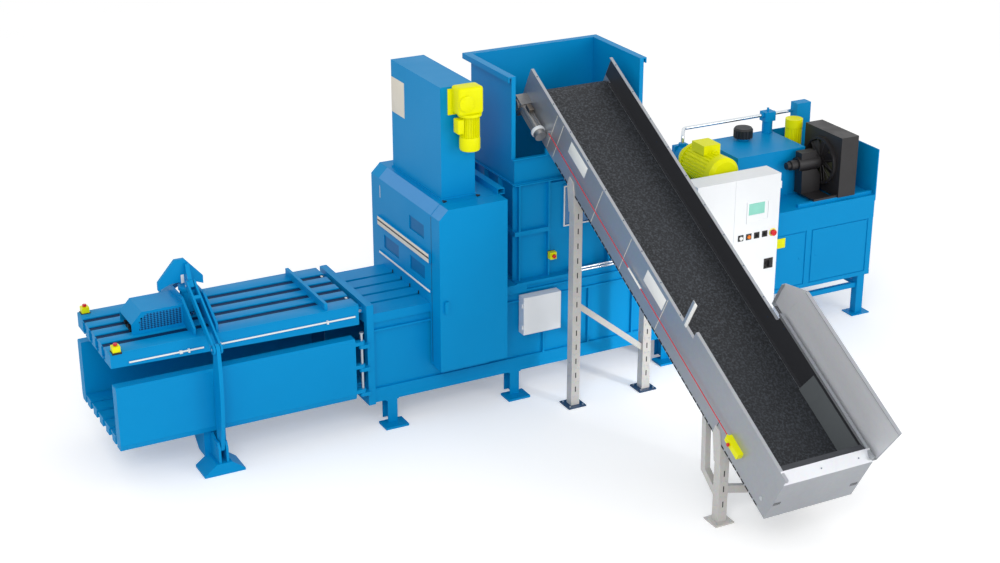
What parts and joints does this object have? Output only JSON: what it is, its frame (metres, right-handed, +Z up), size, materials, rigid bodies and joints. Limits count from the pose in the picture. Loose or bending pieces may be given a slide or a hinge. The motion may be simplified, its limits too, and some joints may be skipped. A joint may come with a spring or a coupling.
{
  "type": "recycling baler",
  "caption": "Channel baler with a clamp round its bale outlet, a tying tower, a feed hopper with an inclined belt conveyor, and a power unit with a control cabinet.",
  "frame": {"origin": "middle of the machine's footprint on the floor", "axes": "+X along the press from the bale outlet to the power unit, -Y to the conveyor's loading end, +Z up"},
  "size_m": [9.248, 6.139, 3.6],
  "materials": {
    "belt_rubber": "rough",
    "black_paint": "satin",
    "black_plastic": "matte",
    "blue_paint": "satin",
    "cast_motor": "cast",
    "chrome_pipe": "polished",
    "orange_plastic": "gloss",
    "red_cord": "satin",
    "red_plastic": "gloss",
    "steel_sheet": "brushed",
    "white_paint": "satin",
    "white_plastic": "satin",
    "yellow_paint": "satin",
    "yellow_plastic": "satin",
    "zinc": "zinc plated"
  },
  "bodies": {
    "frame": {"channel_floor": "blue_paint", "hinge_pins": "zinc", "clamp_base": "blue_paint", "press_body": "blue_paint", "press_legs": "blue_paint", "ram_cylinder": "zinc", "tie_housing": "blue_paint", "tie_tower": "blue_paint", "tie_gearmotor": "yellow_paint", "hopper": "blue_paint", "chute": "blue_paint", "junction_box": "white_paint", "chute_stop_box": "yellow_plastic", "tank": "blue_paint", "hydraulic_blocks": "blue_paint", "pump_motors": "yellow_paint", "pipes": "chrome_pipe", "cooler": "black_paint", "cabinet": "white_paint", "conveyor_frame": "steel_sheet", "belt": "belt_rubber", "conveyor_gearmotor": "cast_motor", "conveyor_legs": "steel_sheet", "pull_switch": "yellow_plastic", "pull_cord": "red_cord"},
    "lid": {"channel_lid": "blue_paint", "lid_pipe": "white_plastic", "clamp_cover": "blue_paint", "lid_stop_boxes": "yellow_plastic"},
    "crosshead": {"clamp_crosshead": "blue_paint"},
    "clamp_rod": {"clamp_rod": "zinc"},
    "clamp_arm_front": {"clamp_arm_front": "blue_paint"},
    "clamp_arm_back": {"clamp_arm_back": "blue_paint"},
    "clamp_links_front": {"clamp_links_front": "blue_paint"},
    "clamp_links_back": {"clamp_links_back": "blue_paint"},
    "side_panel_front": {"side_panel_front": "blue_paint"},
    "side_panel_back": {"side_panel_back": "blue_paint"},
    "ram": {"ram": "blue_paint"},
    "needle_carriage": {"needle_carriage": "blue_paint"},
    "needle_shaft": {"needle_shaft": "zinc"},
    "tie_door": {"tie_door": "blue_paint"},
    "chute_door": {"chute_door": "blue_paint"},
    "junction_door": {"junction_door": "white_paint"},
    "tank_door_left": {"tank_door_left": "blue_paint"},
    "tank_door_right": {"tank_door_right": "blue_paint"},
    "filler_cap": {"filler_cap": "black_plastic"},
    "cooler_fan": {"cooler_fan": "black_paint"},
    "cabinet_door": {"cabinet_door": "white_paint"},
    "start_button": {"start_button": "white_plastic"},
    "reset_button": {"reset_button": "orange_plastic"},
    "mode_selector": {"mode_selector": "black_plastic"},
    "speed_selector": {"speed_selector": "black_plastic"},
    "cabinet_stop_button": {"cabinet_stop_button": "red_plastic"},
    "main_switch": {"main_switch": "black_plastic"},
    "lid_button_front": {"lid_button_front": "red_plastic"},
    "lid_button_back": {"lid_button_back": "red_plastic"},
    "chute_button": {"chute_button": "red_plastic"},
    "pull_knob": {"pull_knob": "red_plastic"},
    "head_drum": {"head_drum": "steel_sheet"},
    "tail_drum": {"tail_drum": "steel_sheet"}
  },
  "joints": [
    {"name": "lid_tilt", "type": "hinge", "parent": "frame", "child": "lid", "pos_m": [-1.992, 2.16817, 1.33], "axis": [0, 1, 0], "range_deg": [-0.8, 0]},
    {"name": "clamp_lift", "type": "slide", "parent": "frame", "child": "crosshead", "axis": [0, 0, 1], "range_m": [0, 0.0302]},
    {"name": "clamp_rod_slide", "type": "slide", "parent": "crosshead", "child": "clamp_rod", "axis": [0, 0, 1], "range_m": [-0.0532, 0]},
    {"name": "arm_front_swing", "type": "hinge", "parent": "frame", "child": "clamp_arm_front", "pos_m": [-3.636, 1.39817, 0.283], "axis": [1, 0, 0], "range_deg": [-0.98, 0]},
    {"name": "arm_back_swing", "type": "hinge", "parent": "frame", "child": "clamp_arm_back", "pos_m": [-3.636, 2.93817, 0.283], "axis": [1, 0, 0], "range_deg": [0, 0.98]},
    {"name": "link_front_swing", "type": "hinge", "parent": "crosshead", "child": "clamp_links_front", "pos_m": [-3.636, 2.03316, 1.79], "axis": [1, 0, 0], "range_deg": [0, 2.46]},
    {"name": "link_back_swing", "type": "hinge", "parent": "crosshead", "child": "clamp_links_back", "pos_m": [-3.636, 2.30316, 1.79], "axis": [1, 0, 0], "range_deg": [-2.46, 0]},
    {"name": "side_front_swing", "type": "hinge", "parent": "frame", "child": "side_panel_front", "pos_m": [-2.034, 1.52216, 0.7], "axis": [0, 0, 1], "range_deg": [-0.51, 0]},
    {"name": "side_back_swing", "type": "hinge", "parent": "frame", "child": "side_panel_back", "pos_m": [-2.034, 2.81417, 0.7], "axis": [0, 0, 1], "range_deg": [0, 0.51]},
    {"name": "ram_slide", "type": "slide", "parent": "frame", "child": "ram", "axis": [1, 0, 0], "range_m": [-1.395, 0]},
    {"name": "needle_slide", "type": "slide", "parent": "frame", "child": "needle_carriage", "axis": [0, 0, 1], "range_m": [-0.86, 0]},
    {"name": "needle_shaft_turn", "type": "hinge", "parent": "frame", "child": "needle_shaft", "pos_m": [-0.8585, 2.16817, 3.44], "axis": [0, 1, 0], "range_deg": [-706, 0]},
    {"name": "tie_door_swing", "type": "hinge", "parent": "frame", "child": "tie_door", "pos_m": [-0.436, 1.51517, 1.5], "axis": [0, 0, 1], "range_deg": [0, 90]},
    {"name": "chute_door_swing", "type": "hinge", "parent": "frame", "child": "chute_door", "pos_m": [0.231, 1.64786, 2], "axis": [0, 0, 1], "range_deg": [-75, 0]},
    {"name": "junction_door_swing", "type": "hinge", "parent": "frame", "child": "junction_door", "pos_m": [-0.188, 1.47317, 0.9], "axis": [0, 0, 1], "range_deg": [-85, 0]},
    {"name": "tank_door_left_swing", "type": "hinge", "parent": "frame", "child": "tank_door_left", "pos_m": [3.04885, 1.62502, 0.9], "axis": [0, 0, 1], "range_deg": [-90, 0]},
    {"name": "tank_door_right_swing", "type": "hinge", "parent": "frame", "child": "tank_door_right", "pos_m": [4.50415, 1.62502, 0.9], "axis": [0, 0, 1], "range_deg": [0, 110]},
    {"name": "filler_cap_turn", "type": "hinge", "parent": "frame", "child": "filler_cap", "pos_m": [3.411, 2.66817, 2.118], "axis": [0, 0, 1], "continuous": true},
    {"name": "cooler_fan_spin", "type": "hinge", "parent": "frame", "child": "cooler_fan", "pos_m": [4.076, 1.99816, 1.901], "axis": [1, 0, 0], "continuous": true},
    {"name": "cabinet_door_swing", "type": "hinge", "parent": "frame", "child": "cabinet_door", "pos_m": [2.977, 1.28987, 1.1], "axis": [0, 0, 1], "range_deg": [0, 90]},
    {"name": "start_button_press", "type": "slide", "parent": "cabinet_door", "child": "start_button", "axis": [0, 1, 0], "range_m": [0, 0.005], "stiffness_N_per_m": 900},
    {"name": "reset_button_press", "type": "slide", "parent": "cabinet_door", "child": "reset_button", "axis": [0, 1, 0], "range_m": [0, 0.005], "stiffness_N_per_m": 900},
    {"name": "mode_selector_turn", "type": "hinge", "parent": "cabinet_door", "child": "mode_selector", "pos_m": [2.677, 1.27886, 1.45], "axis": [0, 1, 0], "range_deg": [-45, 45]},
    {"name": "speed_selector_turn", "type": "hinge", "parent": "cabinet_door", "child": "speed_selector", "pos_m": [2.785, 1.27886, 1.45], "axis": [0, 1, 0], "range_deg": [-45, 45]},
    {"name": "cabinet_stop_press", "type": "slide", "parent": "cabinet_door", "child": "cabinet_stop_button", "axis": [0, 1, 0], "range_m": [0, 0.005], "stiffness_N_per_m": 900},
    {"name": "main_switch_turn", "type": "hinge", "parent": "cabinet_door", "child": "main_switch", "pos_m": [2.858, 1.27886, 1.082], "axis": [0, 1, 0], "range_deg": [0, 90]},
    {"name": "lid_button_front_press", "type": "slide", "parent": "lid", "child": "lid_button_front", "axis": [0, 0, -1], "range_m": [0, 0.006], "stiffness_N_per_m": 900},
    {"name": "lid_button_back_press", "type": "slide", "parent": "lid", "child": "lid_button_back", "axis": [0, 0, -1], "range_m": [0, 0.006], "stiffness_N_per_m": 900},
    {"name": "chute_button_press", "type": "slide", "parent": "frame", "child": "chute_button", "axis": [0, 1, 0], "range_m": [0, 0.006], "stiffness_N_per_m": 900},
    {"name": "pull_knob_press", "type": "slide", "parent": "frame", "child": "pull_knob", "axis": [1, 0, 0], "range_m": [0, 0.006], "stiffness_N_per_m": 900},
    {"name": "head_drum_spin", "type": "hinge", "parent": "frame", "child": "head_drum", "pos_m": [0.576, 2.04763, 3.13026], "axis": [1, 0, 0], "continuous": true},
    {"name": "tail_drum_spin", "type": "hinge", "parent": "frame", "child": "tail_drum", "pos_m": [0.576, -2.44352, 0.60994], "axis": [1, 0, 0], "continuous": true}
  ],
  "couplings": [
    {"joint": "clamp_lift", "follows": "lid_tilt", "m_per_rad": -2.1486},
    {"joint": "clamp_rod_slide", "follows": "lid_tilt", "m_per_rad": 3.7529},
    {"joint": "arm_front_swing", "follows": "lid_tilt", "ratio": 1.2054},
    {"joint": "arm_back_swing", "follows": "lid_tilt", "ratio": -1.2054},
    {"joint": "link_front_swing", "follows": "lid_tilt", "ratio": -3.051},
    {"joint": "link_back_swing", "follows": "lid_tilt", "ratio": 3.051},
    {"joint": "side_front_swing", "follows": "lid_tilt", "ratio": 0.6252},
    {"joint": "side_back_swing", "follows": "lid_tilt", "ratio": -0.6252},
    {"joint": "needle_shaft_turn", "follows": "needle_slide", "rad_per_m": 14.286},
    {"joint": "tail_drum_spin", "follows": "head_drum_spin", "ratio": 1}
  ]
}
